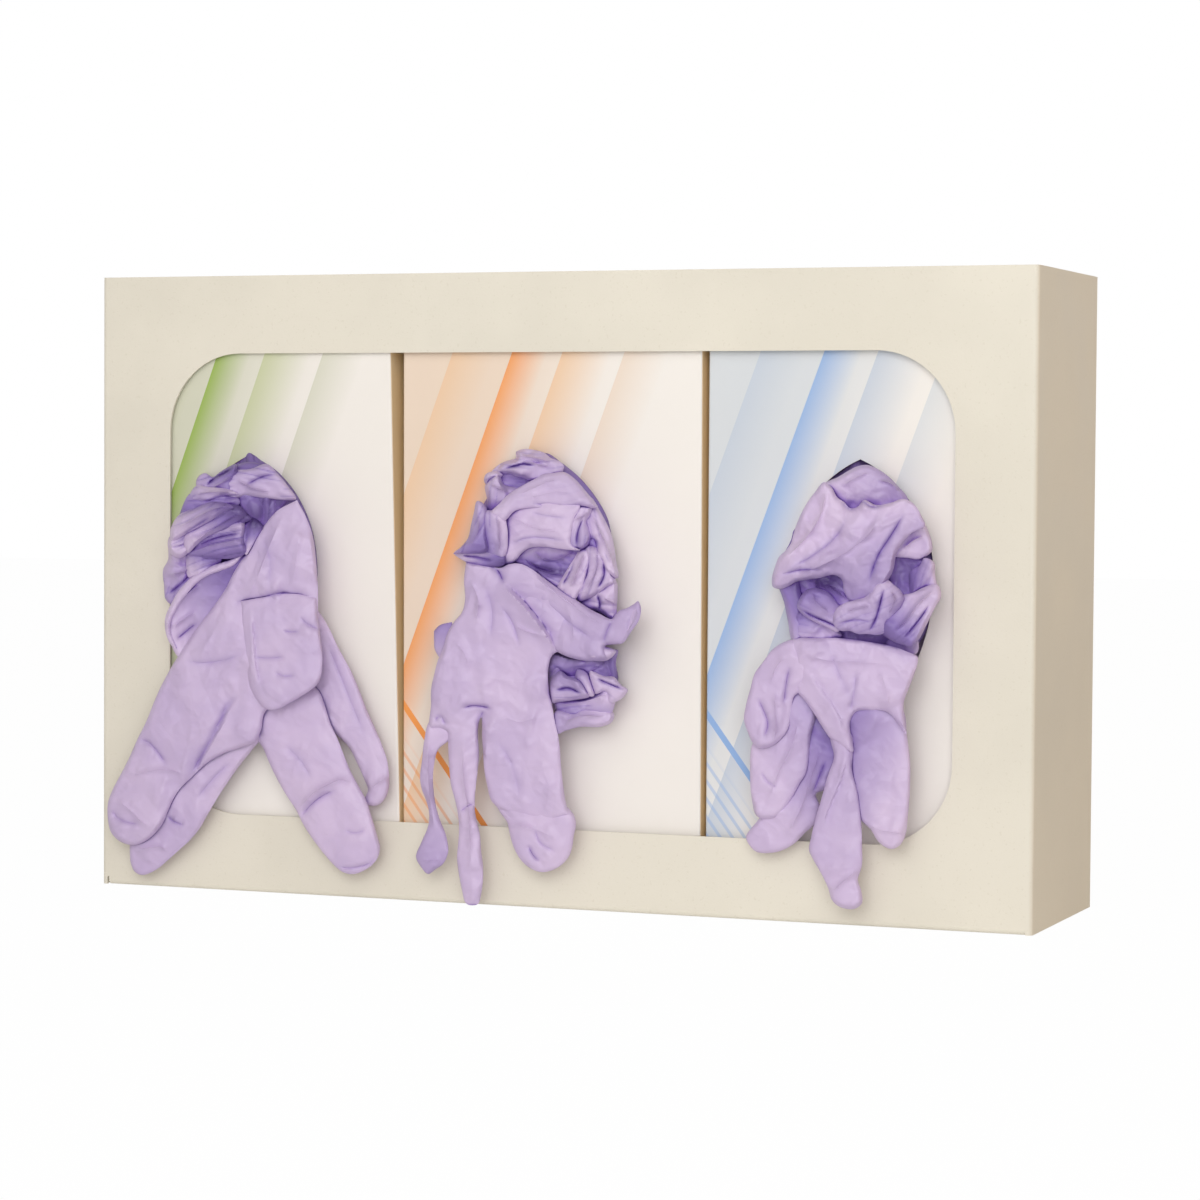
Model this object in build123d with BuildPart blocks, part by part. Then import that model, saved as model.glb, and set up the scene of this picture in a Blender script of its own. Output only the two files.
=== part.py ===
from build123d import *
import os
from math import cos, pi, sin

os.makedirs("parts", exist_ok=True)

# Disposable glove dispenser: a folded steel pocket that holds three glove cartons on end.
# Millimetres. +X right, +Y towards the wall, +Z up. Origin: middle of the base.

# Steel body
body_height = 255.0
body_depth = 95.0
sheet = 1.2
bend_radius = 2.0
window_border = 32.0
window_corner = 32.0

# Relief slit between the side fold and the bottom fold, at the front's lower left corner
slit_width = 0.8
slit_height = 3.2
slit_inset = 2.5

# Back panel
flange = 14.0
flange_gap = 3.0
wall_hole_radius = 2.6
wall_hole_spacing_x = 304.8
wall_hole_spacing_z = 152.4
wall_hole_rise = 12.0

# Cartons: paperboard, on end, racked a little to one side
carton_width = 129.0
carton_height = 240.0
carton_depth = 76.0
board = 0.6
carton_fold = 1.0
flap_seam_width = 1.0
flap_seam_depth = 0.3
carton_behind_front = (1.2, 2.3, 2.9)
carton_rack = (-6.2, -0.9, 0.0)
foot_gaps = (7.1, 0.3, 1.8, 3.4)

# Torn opening in each carton's front: a pointed arch over a round lower end
mouth_half_width = 30.0
mouth_waist_z = 136.0
mouth_rise = 45.0
mouth_drop = 52.0
mouth_shoulder = (21.5, 27.0)
mouth_shift = -2.0

# Pack of gloves left inside each carton
stack_side_gap = 5.0
stack_top_gap = 22.0
stack_behind_board = 9.0
stack_back_gap = 4.0
stack_round = 8.0

# Corners of the ring round a hanging glove's palm or finger
limb_corners = 10

# Crumpled glove gathered in each opening
neck_ring = (-5.0, -8.0, -16.0)
neck_overlap = 3.0
gather_folds = 7
gather_fold_depth = 0.06
gather_points = 28
gather_stations = (
    (0.3, 1.0, -2.0, -13.0),
    (5.0, 4.0, 0.0, -12.0),
    (13.0, 4.0, 1.0, -14.0),
    (21.0, -3.0, -7.0, -21.0),
    (27.0, -16.0, -25.0, -35.0),
)

# Worked out from the values above: the body is as wide as its three cartons and their gaps
body_width = len(carton_rack) * carton_width + sum(foot_gaps) + 2 * sheet
half_width = body_width / 2
front_y = -body_depth / 2
back_y = body_depth / 2
inner_x = half_width - sheet
slit_edge_x = half_width - slit_inset
bottom_edge_x = slit_edge_x - slit_width
sides = ("left", "middle", "right")
least_rise = 0.9  # vertical share of its direction from which an edge counts as upright


def folded_sheet(plane, *corners):
    """Section of a sheet whose outside face runs through the corners, with rounded folds."""
    with BuildSketch(plane) as section:
        with BuildLine():
            FilletPolyline(*corners, radius=bend_radius)
            offset(amount=sheet, side=Side.LEFT)
        make_face()
    return section.sketch


def racked_face(plane, middle_x, rack, reach, low, high):
    """Upright face between two heights, its sides leaning as the carton's do."""
    lean_low = rack * (low - sheet) / carton_height
    lean_high = rack * (high - sheet) / carton_height
    with BuildSketch(plane) as face:
        with BuildLine():
            Polyline(
                (middle_x - reach + lean_low, low),
                (middle_x + reach + lean_low, low),
                (middle_x + reach + lean_high, high),
                (middle_x - reach + lean_high, high),
                close=True,
            )
        make_face()
    return face.sketch


def upright_edges(part):
    """Edges that run up the part, racked or not."""
    return part.edges().filter_by(lambda edge: abs(edge.tangent_at(0).Z) > least_rise)


def mouth_face(plane, middle_x):
    """Torn opening: a pointed arch closed by half an ellipse below."""
    with BuildSketch(plane) as face:
        with BuildLine():
            for side in (-1, 1):
                ThreePointArc(
                    (middle_x + side * mouth_half_width, mouth_waist_z),
                    (middle_x + side * mouth_shoulder[0], mouth_waist_z + mouth_shoulder[1]),
                    (middle_x, mouth_waist_z + mouth_rise),
                )
            EllipticalCenterArc(
                (middle_x, mouth_waist_z),
                mouth_half_width,
                mouth_drop,
                start_angle=180,
                arc_size=180,
            )
        make_face()
    return face.sketch


def fold_ring(middle_x, y, beside, above, below):
    """Wavy closed section through a gathered glove, sized by how far it passes the opening's edge."""
    reach = mouth_half_width + beside
    up = mouth_rise + above
    down = mouth_drop + below
    points = []
    for step in range(gather_points):
        turn = 2 * pi * step / gather_points
        swell = 1 + gather_fold_depth * cos(gather_folds * turn)
        rise = up if sin(turn) > 0 else down
        points.append((middle_x + reach * swell * cos(turn), mouth_waist_z + rise * swell * sin(turn)))
    with BuildSketch(Plane.XZ.offset(-y)) as ring:
        with BuildLine():
            Polyline(*points, close=True)
        make_face()
    return ring.sketch


def limb(middle_x, stations):
    """Soft glove limb: ovals at (x, z, distance in front of the steel, half width, half depth)."""
    centres = [
        Vector(middle_x + x, front_y - ahead, mouth_waist_z + z) for x, z, ahead, reach, depth in stations
    ]
    turns = [2 * pi * corner / limb_corners for corner in range(limb_corners)]
    sections = []
    for index, (x, z, ahead, reach, depth) in enumerate(stations):
        along = centres[min(index + 1, len(centres) - 1)] - centres[max(index - 1, 0)]
        across = Vector(0, 1, 0).cross(along)
        ring = [(reach * cos(turn), depth * sin(turn)) for turn in turns]
        with BuildSketch(Plane(centres[index], x_dir=across, z_dir=along)) as section:
            with BuildLine():
                Polyline(*ring, close=True)
            make_face()
        sections.append(section.sketch)
    with BuildPart() as body:
        loft(sections, ruled=True)
    return body.part


# Shell: front, sides and bottom folded from one sheet
wrap_corners = ((-half_width, back_y), (-half_width, front_y), (half_width, front_y), (half_width, back_y))
bottom_corners = ((front_y, bend_radius + slit_height), (front_y, 0), (back_y, 0))
with BuildPart() as shell:
    extrude(folded_sheet(Plane.XY, *wrap_corners), amount=body_height)
    with BuildSketch(Plane.XZ.offset(-front_y)):
        with Locations((0, body_height / 2)):
            RectangleRounded(
                body_width - 2 * window_border, body_height - 2 * window_border, window_corner
            )
        with Locations((0, slit_height / 2)):
            Rectangle(2 * slit_edge_x, slit_height)
    extrude(amount=-sheet, mode=Mode.SUBTRACT)
    bottom_fold = folded_sheet(Plane.YZ.offset(-bottom_edge_x), *bottom_corners)
    extrude(bottom_fold, amount=bottom_edge_x + slit_edge_x)
shell.part.label = "shell"
export_step(shell.part, "parts/shell.step")

# Back panel: a pan with side and bottom flanges, welded inside the shell
pan_corners = ((inner_x, back_y - flange), (inner_x, back_y), (-inner_x, back_y), (-inner_x, back_y - flange))
lip_corners = ((back_y - flange, sheet), (back_y, sheet), (back_y, sheet + bend_radius + flange_gap))
lip_reach = inner_x - bend_radius - flange_gap
with BuildPart() as back_panel:
    pan = folded_sheet(Plane.XY.offset(sheet + flange_gap), *pan_corners)
    extrude(pan, amount=body_height - sheet - flange_gap)
    extrude(folded_sheet(Plane.YZ.offset(-lip_reach), *lip_corners), amount=2 * lip_reach)
    with BuildSketch(Plane.XZ.offset(-back_y)):
        with Locations((0, body_height / 2 + wall_hole_rise)):
            with GridLocations(wall_hole_spacing_x, wall_hole_spacing_z, 2, 2):
                Circle(wall_hole_radius)
    extrude(amount=sheet, mode=Mode.SUBTRACT)
back_panel.part.label = "back_panel"
export_step(back_panel.part, "parts/back_panel.step")

# Hanging gloves: palm first, then the digits, as stations from the middle of each opening's waist
hanging_limbs = {
    "left": (
        (
            (30, 22, 13, 9, 4),
            (24, 10, 15, 16, 4.5),
            (19, -8, 14, 24, 4.5),
            (13, -28, 13.5, 33, 4.5),
            (11, -44, 13, 34, 4),
            (12, -56, 12, 28, 3.5),
        ),
        (
            (-6, -38, 13, 12, 4),
            (-16, -58, 12.5, 12.5, 4),
            (-29, -79, 12, 11.5, 4),
            (-40, -98, 11.5, 10.5, 3.5),
            (-46, -110, 11, 6, 2.2),
        ),
        (
            (10, -52, 11, 11, 4),
            (0, -72, 9.5, 11, 4),
            (-16, -96, 9, 11, 3.5),
            (-29, -112, 8.5, 10, 3),
            (-39, -124, 8.5, 6, 2.2),
        ),
        (
            (26, -12, 16.5, 13, 4),
            (29, -28, 17, 18, 5),
            (30, -42, 17.5, 17, 5),
            (28, -54, 17.5, 9, 3.5),
        ),
        (
            (30, -52, 10, 12, 4),
            (35, -74, 9, 12, 4),
            (44, -94, 8.5, 11, 3.5),
            (54, -110, 8.5, 9.5, 3),
            (60, -119, 8.5, 5, 2.2),
        ),
        (
            (41, -24, 9, 7, 4),
            (46, -42, 7, 9, 3.5),
            (54, -64, 6, 8.5, 3),
            (62, -84, 5.5, 6.5, 2.5),
            (65, -94, 5.5, 4, 2),
        ),
    ),
    "middle": (
        (
            (7, 2, 15.5, 18, 4),
            (5, -9, 16, 27, 4.5),
            (3, -24, 15.5, 32, 4.5),
            (-4, -40, 15, 32, 4.5),
            (-11, -56, 14, 28, 4),
            (-13, -66, 13, 22, 3.5),
        ),
        (
            (21, -12, 15.5, 12, 4),
            (37, -19, 15.5, 10, 3.5),
            (47, -14, 15.5, 5, 2.2),
        ),
        (
            (-4, -52, 13.5, 14, 4),
            (-3, -70, 13, 15, 4),
            (3, -90, 12, 13, 4),
            (9, -104, 11, 10.5, 3.5),
            (12, -115, 10.5, 6.5, 2.2),
        ),
        (
            (-24, -56, 13, 8, 4),
            (-26, -74, 12.5, 8, 3.5),
            (-24, -92, 12, 6.5, 3),
            (-24, -110, 11.5, 5, 2.5),
            (-24, -129, 11, 3.8, 2),
        ),
        (
            (-35, -50, 12.5, 6, 3.5),
            (-39, -68, 12, 5.5, 3),
            (-41, -86, 12, 6, 2.5),
            (-40, -102, 11.5, 7, 2.5),
            (-44, -118, 11, 5, 2),
        ),
        (
            (23, -28, 9, 14, 6),
            (27, -42, 8.5, 16, 6.5),
            (27, -54, 8.5, 13, 6.5),
            (24, -62, 8.5, 7, 5),
        ),
    ),
    "right": (
        (
            (6, -18, 15, 22, 4),
            (7, -32, 16, 25, 4.5),
            (8, -44, 16, 24, 4.5),
            (8, -56, 15, 20, 4),
            (8, -66, 14, 15, 3.5),
        ),
        (
            (18, -48, 13, 10, 4),
            (17, -64, 12.5, 11, 4),
            (19, -80, 12, 9.5, 3.5),
            (20, -92, 12, 7.5, 3),
            (20, -102, 12, 4.5, 2),
        ),
        (
            (0, -52, 14, 10, 4),
            (-1, -70, 13.5, 9, 4),
            (0, -90, 13, 8.5, 3.5),
            (1, -108, 13, 7.5, 3),
            (3, -123, 13, 5.5, 2.2),
        ),
        (
            (-14, -48, 13, 10, 4),
            (-20, -66, 11.5, 12, 4),
            (-25, -82, 11, 11, 4),
            (-29, -96, 9.5, 8, 3.5),
            (-31, -104, 9, 4.5, 2.2),
        ),
        (
            (-16, -24, 15, 8, 4),
            (-27, -36, 16, 12, 4.5),
            (-31, -50, 16, 12, 4.5),
            (-29, -62, 15, 8, 3.5),
        ),
    ),
}

for index, side in enumerate(sides):
    rack = carton_rack[index]
    middle_x = sum(foot_gaps[: index + 1]) + (index + 0.5) * carton_width - inner_x
    mouth_x = middle_x + mouth_shift + rack * (mouth_waist_z - sheet) / carton_height
    carton_y = front_y + sheet + carton_behind_front[index]
    carton_plane = Plane.XZ.offset(-carton_y)
    board_plane = Plane.XZ.offset(-carton_y - board)
    reach = carton_width / 2
    top = sheet + carton_height
    stack_y = carton_y + board + stack_behind_board
    stack_depth = carton_depth - 2 * board - stack_behind_board - stack_back_gap

    with BuildPart() as carton:
        extrude(racked_face(carton_plane, middle_x, rack, reach, sheet, top), amount=-carton_depth)
        fillet(upright_edges(carton), carton_fold)
        extrude(
            racked_face(board_plane, middle_x, rack, reach - board, sheet + board, top - board),
            amount=-(carton_depth - 2 * board),
            mode=Mode.SUBTRACT,
        )
        extrude(mouth_face(carton_plane, mouth_x), amount=-board, mode=Mode.SUBTRACT)
        seam_y = carton_y + carton_depth / 2
        with Locations((middle_x, seam_y, sheet), (middle_x, seam_y, top)):
            Box(2 * carton_width, flap_seam_width, 2 * flap_seam_depth, mode=Mode.SUBTRACT)
    carton.part.label = "carton_" + side
    export_step(carton.part, "parts/carton_" + side + ".step")

    with BuildPart() as stack:
        extrude(
            racked_face(
                Plane.XZ.offset(-stack_y),
                middle_x,
                rack,
                reach - board - stack_side_gap,
                sheet + board,
                top - board - stack_top_gap,
            ),
            amount=-stack_depth,
        )
        fillet(upright_edges(stack), stack_round)
    stack.part.label = "glove_stack_" + side
    export_step(stack.part, "parts/glove_stack_" + side + ".step")

    with BuildPart() as hanging_glove:
        for stations in hanging_limbs[side]:
            add(limb(mouth_x, stations))
    hanging_glove.part.label = "hanging_glove_" + side
    export_step(hanging_glove.part, "parts/hanging_glove_" + side + ".step")

    with BuildPart() as next_glove:
        loft([fold_ring(mouth_x, carton_y - ahead, *ring) for ahead, *ring in gather_stations], ruled=True)
        neck = fold_ring(mouth_x, carton_y - neck_overlap, *neck_ring)
        extrude(neck, amount=carton_y - stack_y - neck_overlap)
        add(hanging_glove.part, mode=Mode.SUBTRACT)
    next_glove.part.label = "next_glove_" + side
    export_step(next_glove.part, "parts/next_glove_" + side + ".step")
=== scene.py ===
import math

import bpy
import numpy as np
from mathutils import Matrix, Vector, noise
from mathutils.geometry import delaunay_2d_cdt


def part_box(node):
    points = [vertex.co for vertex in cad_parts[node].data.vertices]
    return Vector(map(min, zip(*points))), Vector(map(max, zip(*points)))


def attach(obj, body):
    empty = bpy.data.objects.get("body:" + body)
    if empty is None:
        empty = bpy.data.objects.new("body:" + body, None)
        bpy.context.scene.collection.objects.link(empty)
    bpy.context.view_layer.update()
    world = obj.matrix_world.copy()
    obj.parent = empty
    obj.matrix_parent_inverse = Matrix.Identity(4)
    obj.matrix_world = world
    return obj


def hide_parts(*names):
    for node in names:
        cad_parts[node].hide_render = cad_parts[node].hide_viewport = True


MM = 0.001

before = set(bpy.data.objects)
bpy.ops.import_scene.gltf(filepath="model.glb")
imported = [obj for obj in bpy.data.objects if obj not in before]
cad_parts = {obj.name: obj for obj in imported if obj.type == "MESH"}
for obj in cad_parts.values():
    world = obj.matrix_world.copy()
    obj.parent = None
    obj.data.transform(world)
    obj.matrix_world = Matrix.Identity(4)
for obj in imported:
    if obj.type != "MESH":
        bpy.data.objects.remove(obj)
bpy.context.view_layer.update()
FRONT_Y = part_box("shell")[0].y / MM  # the steel's front face
SIDES = ("left", "middle", "right")

# ---------------------------------------------------------------- camera
PHOTO_SIZE = 1200  # pixels
FOCAL_PX = 3518.0
SENSOR_MM = 36.0
AZIMUTH, ELEVATION, ROLL = (math.radians(a) for a in (21.26, 2.32, 0.37))
DISTANCE = 1399.0  # mm from the camera to the point it aims at
AIM = Vector((23.7, FRONT_Y, 124.4))  # mm

camera_back = Vector((
    math.sin(AZIMUTH) * math.cos(ELEVATION),
    -math.cos(AZIMUTH) * math.cos(ELEVATION),
    math.sin(ELEVATION),
))
camera_place = AIM + camera_back * DISTANCE
level_right = (-camera_back).cross(Vector((0, 0, 1))).normalized()
level_up = level_right.cross(-camera_back)
camera_right = level_right * math.cos(ROLL) + level_up * math.sin(ROLL)
camera_up = level_up * math.cos(ROLL) - level_right * math.sin(ROLL)

camera_data = bpy.data.cameras.new("camera")
camera_data.sensor_width = SENSOR_MM
camera_data.lens = FOCAL_PX / PHOTO_SIZE * SENSOR_MM
camera = bpy.data.objects.new("camera", camera_data)
camera.matrix_world = Matrix((
    (camera_right.x, camera_up.x, camera_back.x, camera_place.x * MM),
    (camera_right.y, camera_up.y, camera_back.y, camera_place.y * MM),
    (camera_right.z, camera_up.z, camera_back.z, camera_place.z * MM),
    (0, 0, 0, 1),
))
camera_data.clip_start, camera_data.clip_end = 0.05, 50
bpy.context.scene.collection.objects.link(camera)
bpy.context.scene.camera = camera


def unproject(px, py, ahead):
    """Points (mm) that photo pixels show, a given distance in front of the steel's front face."""
    rays = (
        np.array(-camera_back)[None]
        + np.outer((px - PHOTO_SIZE / 2) / FOCAL_PX, np.array(camera_right))
        + np.outer((PHOTO_SIZE / 2 - py) / FOCAL_PX, np.array(camera_up))
    )
    reach = (FRONT_Y - ahead - camera_place.y) / rays[:, 1]
    return np.array(camera_place)[None] + rays * reach[:, None]


# ---------------------------------------------------------------- node helpers
def linear(code):
    """Scene-linear colour of an sRGB hex code."""
    values = [int(code[i:i + 2], 16) / 255 for i in (1, 3, 5)]
    return tuple(v / 12.92 if v <= 0.04045 else ((v + 0.055) / 1.055) ** 2.4 for v in values) + (1.0,)


class Nodes:
    """Short forms for building a node tree."""

    def __init__(self, tree):
        self.tree = tree

    def node(self, kind, links=None, **settings):
        made = self.tree.nodes.new(kind)
        for key, value in settings.items():
            setattr(made, key, value)
        for key, value in (links or {}).items():
            self.feed(made, key, value)
        return made

    def feed(self, node, key, value):
        socket = node.inputs[key]
        if isinstance(value, bpy.types.NodeSocket):
            self.tree.links.new(value, socket)
        else:
            socket.default_value = value

    def math(self, operation, a, b=0.0, clamp=False):
        made = self.node("ShaderNodeMath", {0: a, 1: b}, operation=operation, use_clamp=clamp)
        return made.outputs[0]


class Shader(Nodes):
    """A material under construction."""

    def __init__(self, name):
        self.material = bpy.data.materials.new(name)
        self.material.use_nodes = True
        super().__init__(self.material.node_tree)
        self.principled = self.tree.nodes["Principled BSDF"]
        self.output = self.tree.nodes["Material Output"]

    def place(self):
        return self.node("ShaderNodeTexCoord").outputs["Object"]

    def part(self, vector, axis):
        return self.node("ShaderNodeSeparateXYZ", {0: vector}).outputs[axis]

    def weighted(self, a, share_a, b, share_b, operation="ADD"):
        return self.math(operation, self.math("MULTIPLY", a, share_a), self.math("MULTIPLY", b, share_b))

    def spread(self, value, low, high, out_low=0.0, out_high=1.0):
        links = {"Value": value, "From Min": low, "From Max": high, "To Min": out_low, "To Max": out_high}
        return self.node("ShaderNodeMapRange", links, interpolation_type="SMOOTHSTEP").outputs[0]

    def mix(self, share, a, b):
        made = self.node("ShaderNodeMix", data_type="RGBA")
        self.feed(made, 0, share)
        self.feed(made, 6, a)
        self.feed(made, 7, b)
        return made.outputs[2]

    def grain(self, place, scale, detail=3.0, roughness=0.5, squeeze=None):
        if squeeze:
            place = self.node("ShaderNodeMapping", {"Vector": place, "Scale": squeeze}).outputs[0]
        links = {"Vector": place, "Scale": scale, "Detail": detail, "Roughness": roughness}
        return self.node("ShaderNodeTexNoise", links).outputs[0]

    def bump(self, height, strength, distance, normal=None):
        links = {"Height": height, "Strength": strength, "Distance": distance}
        if normal:
            links["Normal"] = normal
        return self.node("ShaderNodeBump", links).outputs[0]

    def set(self, **values):
        for key, value in values.items():
            self.feed(self.principled, key.replace("_", " "), value)


def dress(obj, material):
    obj.data.materials.clear()
    obj.data.materials.append(material)


# ---------------------------------------------------------------- materials
def powder_coat():
    """Warm off-white powder coat: fine orange peel, faint mottling."""
    s = Shader("powder_coat")
    place = s.place()
    mottle = s.spread(s.grain(place, 14.0, 4.0), 0.35, 0.65)
    fleck = s.spread(s.grain(place, 900.0, 2.0), 0.62, 0.72)
    tint = s.mix(mottle, linear("#e0dacb"), linear("#e6e0d1"))
    s.set(Base_Color=s.mix(s.math("MULTIPLY", fleck, 0.25), tint, linear("#cfc7b2")))
    s.set(Roughness=s.spread(mottle, 0.0, 1.0, 0.44, 0.52))
    s.set(Normal=s.bump(s.grain(place, 1400.0, 2.0), 0.12, 0.0004), IOR=1.45)
    return s.material


CRINKLES = ((0.015, 0.09), (0.0095, 0.11), (0.0062, 0.11), (0.0041, 0.08))  # metres apart, slope
GOLDEN_TURN = 0.382  # share of a half turn that keeps the directions of creases apart
FOLD_REACH, PINCH_REACH = 0.006, 0.0016  # how near a neighbouring fold must lie for the painted shade, in two steps, metres


def nitrile():
    """Thin lavender film: soft sheen, fine crinkles, and a deeper violet painted in as shade in folds and
    lobes.
    """
    s = Shader("nitrile")
    place = s.place()
    cloud = s.spread(s.grain(place, 45.0, 3.0), 0.3, 0.7)
    fold = s.node("ShaderNodeAmbientOcclusion", {"Distance": FOLD_REACH}, samples=8).outputs["AO"]
    pinch = s.node("ShaderNodeAmbientOcclusion", {"Distance": PINCH_REACH}, samples=8).outputs["AO"]
    inner = s.node("ShaderNodeAttribute", attribute_name="inner").outputs["Fac"]
    open_tint = s.mix(cloud, linear("#cab6d8"), linear("#d4c0de"))
    # painted shade: each vertex's shade share paints the colour darker violet up to 1, and deeper violet
    # above that
    face = s.mix(s.math("MINIMUM", inner, 1.0), open_tint, linear("#8a74b3"))
    face = s.mix(s.math("SUBTRACT", inner, 1.0, True), face, linear("#46306c"))
    # painted shade: the colour is painted a deeper violet where ambient occlusion finds a fold close by,
    # deepest where folds pinch
    folded = s.mix(s.spread(fold, 0.1, 0.55), linear("#a384cf"), face)
    folded = s.mix(s.spread(fold, 0.0, 0.2), linear("#573591"), folded)
    s.set(Base_Color=s.mix(s.spread(pinch, 0.15, 0.6), linear("#6b4a9e"), folded))
    s.set(Roughness=0.45, IOR=1.46)
    drift = s.node("ShaderNodeTexNoise", {"Vector": place, "Scale": 55.0, "Detail": 2.0}).outputs[1]
    bent = s.node("ShaderNodeMix", {0: 0.006, 4: place, 5: drift}, data_type="VECTOR").outputs[1]
    height = 0.0
    for k, (wave, steep) in enumerate(CRINKLES):
        turn = math.pi * (0.13 + k * GOLDEN_TURN)
        aim = (math.cos(turn) / wave, 0.3 / wave, math.sin(turn) / wave)
        along = s.node("ShaderNodeVectorMath", {0: bent, 1: aim}, operation="DOT_PRODUCT").outputs["Value"]
        ridge = s.math("ABSOLUTE", s.math("SUBTRACT", s.math("FRACT", along), 0.5))
        apart = s.node("ShaderNodeVectorMath", {0: place, 1: (k, k, k)}).outputs[0]
        where = s.spread(s.grain(apart, 0.45 / wave, 2.0), 0.50, 0.66)
        height = s.math("ADD", height, s.math("MULTIPLY", s.math("MULTIPLY", ridge, where), steep * wave))
    fine = s.bump(s.grain(place, 1600.0, 2.0), 0.06, 0.0002)
    s.set(Normal=s.bump(height, 1.0, 1.0, fine))
    return s.material


PRINTS = {
    "left": {"strong": "#8fae35", "mid": "#bcc58d", "pale": "#d3d3be"},
    "middle": {"strong": "#f29a4c", "mid": "#edc090", "pale": "#ead6c2"},
    "right": {"strong": "#8fb0de", "mid": "#b9c5d6", "pale": "#d5d9dc"},
}
# Print, in metres from the front's lower middle: where each band starts and ends, its colour and strength.
BANDS = (
    (-0.0935, -0.079, "strong", 0.9), (-0.073, -0.053, "mid", 0.7), (-0.048, -0.030, "pale", 0.8),
    (-0.118, -0.100, "mid", 0.6),
)
BAND_SLOPE, LINE_SLOPE = (0.94, 0.35), (0.80, 0.60)  # shares of across and up
LINES_APART = 0.0042
STRIPE_AT, STRIPE_HALF = -0.004, 0.0012


def carton_board(side, colours):
    """Clay-coated white board with a plain diagonal-band print on its front, tan on its sides, painted paler
    near the front as painted light.
    """
    s = Shader("carton_" + side)
    low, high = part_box("carton_" + side)
    place = s.place()
    u = s.math("SUBTRACT", s.part(place, 0), (low.x + high.x) / 2)
    v = s.math("SUBTRACT", s.part(place, 2), low.z)
    rising = s.weighted(u, BAND_SLOPE[0], v, BAND_SLOPE[1], "SUBTRACT")
    falling = s.weighted(u, LINE_SLOPE[0], v, LINE_SLOPE[1])
    white = linear("#f2ede6")
    colour = s.mix(s.spread(rising, -0.100, -0.040), linear(colours["pale"]), white)
    for start, end, key, most in BANDS:
        links = {"Value": rising, "From Min": start, "From Max": end, "To Min": most, "To Max": 0.0}
        fade = s.node("ShaderNodeMapRange", links).outputs[0]
        begin = s.math("GREATER_THAN", rising, start)
        colour = s.mix(s.math("MULTIPLY", fade, begin), colour, linear(colours[key]))
    wave = s.math("SINE", s.math("MULTIPLY", falling, 2 * math.pi / LINES_APART))
    lines = s.math("MULTIPLY", s.spread(wave, 0.4, 0.8), s.spread(falling, -0.010, -0.016))
    colour = s.mix(s.math("MULTIPLY", lines, 0.5), colour, linear(colours["strong"]))
    links = {0: falling, 1: STRIPE_AT, 2: STRIPE_HALF}
    stripe = s.node("ShaderNodeMath", links, operation="COMPARE").outputs[0]
    colour = s.mix(stripe, colour, linear(colours["strong"]))
    facing = s.node("ShaderNodeNewGeometry").outputs["Normal"]
    front = s.math("LESS_THAN", s.part(facing, 1), -0.5)
    fibre = s.spread(s.grain(place, 500.0, 4.0, 0.6, (1.0, 1.0, 0.15)), 0.3, 0.7)
    tan = s.mix(fibre, linear("#bfa77c"), linear("#cdb78f"))
    depth = s.math("SUBTRACT", s.part(place, 1), low.y)
    ragged = s.math("ADD", depth, s.math("MULTIPLY", s.grain(place, 120.0, 3.0), 0.006))
    front_painted_light = s.spread(ragged, 0.012, 0.020, 1.0, 0.0)  # painted light: the sides are painted paler near the front, where more light reaches them
    edge = s.mix(front_painted_light, tan, linear("#f3dcb4"))
    s.set(Base_Color=s.mix(front, edge, colour), Roughness=0.55)
    s.set(Normal=s.bump(s.grain(place, 260.0, 3.0), 0.1, 0.0004))
    return s.material


coat = powder_coat()
for name in ("shell", "back_panel"):
    dress(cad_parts[name], coat)
glove_film = nitrile()
for side in SIDES:
    dress(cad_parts["carton_" + side], carton_board(side, PRINTS[side]))
    dress(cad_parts["glove_stack_" + side], glove_film)


# ---------------------------------------------------------------- glove film
def traced(text):
    """Points in photo pixels, from "x,y x,y"; a "!" marks a sharp corner with a third value."""
    return [
        tuple(int(v) for v in point.rstrip("!").split(",")) + (1,) * point.endswith("!")
        for point in text.split()
    ]


def lobe(outline, ahead, *creases, **ways):
    """One lobe's settings for film(); a crease is its line, height, width and, at will, "step"."""
    lines = [(traced(line), *shape) for line, *shape in creases]
    return {"outline": traced(outline), "ahead": ahead, "creases": lines, **ways}


def rounded(points, step=1.8):
    """Closed smooth line through the points; a point with a third value is a sharp corner."""
    corner = [len(p) > 2 for p in points]
    pts = np.array([p[:2] for p in points], float)
    count = len(pts)
    line = []
    for i in range(count):
        p1, p2 = pts[i], pts[(i + 1) % count]
        p0 = pts[i - 1] if not corner[i] else 2 * p1 - p2
        p3 = pts[(i + 2) % count] if not corner[(i + 1) % count] else 2 * p2 - p1
        t1 = np.linalg.norm(p1 - p0) ** 0.5 + 1e-6
        t2 = t1 + np.linalg.norm(p2 - p1) ** 0.5 + 1e-6
        t3 = t2 + np.linalg.norm(p3 - p2) ** 0.5 + 1e-6
        parts = max(1, int(round(np.linalg.norm(p2 - p1) / step)))
        for k in range(parts):
            t = t1 + (t2 - t1) * k / parts
            a1 = (t1 - t) / t1 * p0 + t / t1 * p1
            a2 = (t2 - t) / (t2 - t1) * p1 + (t - t1) / (t2 - t1) * p2
            a3 = (t3 - t) / (t3 - t2) * p2 + (t - t2) / (t3 - t2) * p3
            b1 = (t2 - t) / t2 * a1 + t / t2 * a2
            b2 = (t3 - t) / (t3 - t1) * a2 + (t - t1) / (t3 - t1) * a3
            line.append((t2 - t) / (t2 - t1) * b1 + (t - t1) / (t2 - t1) * b2)
    return np.array(line)


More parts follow.
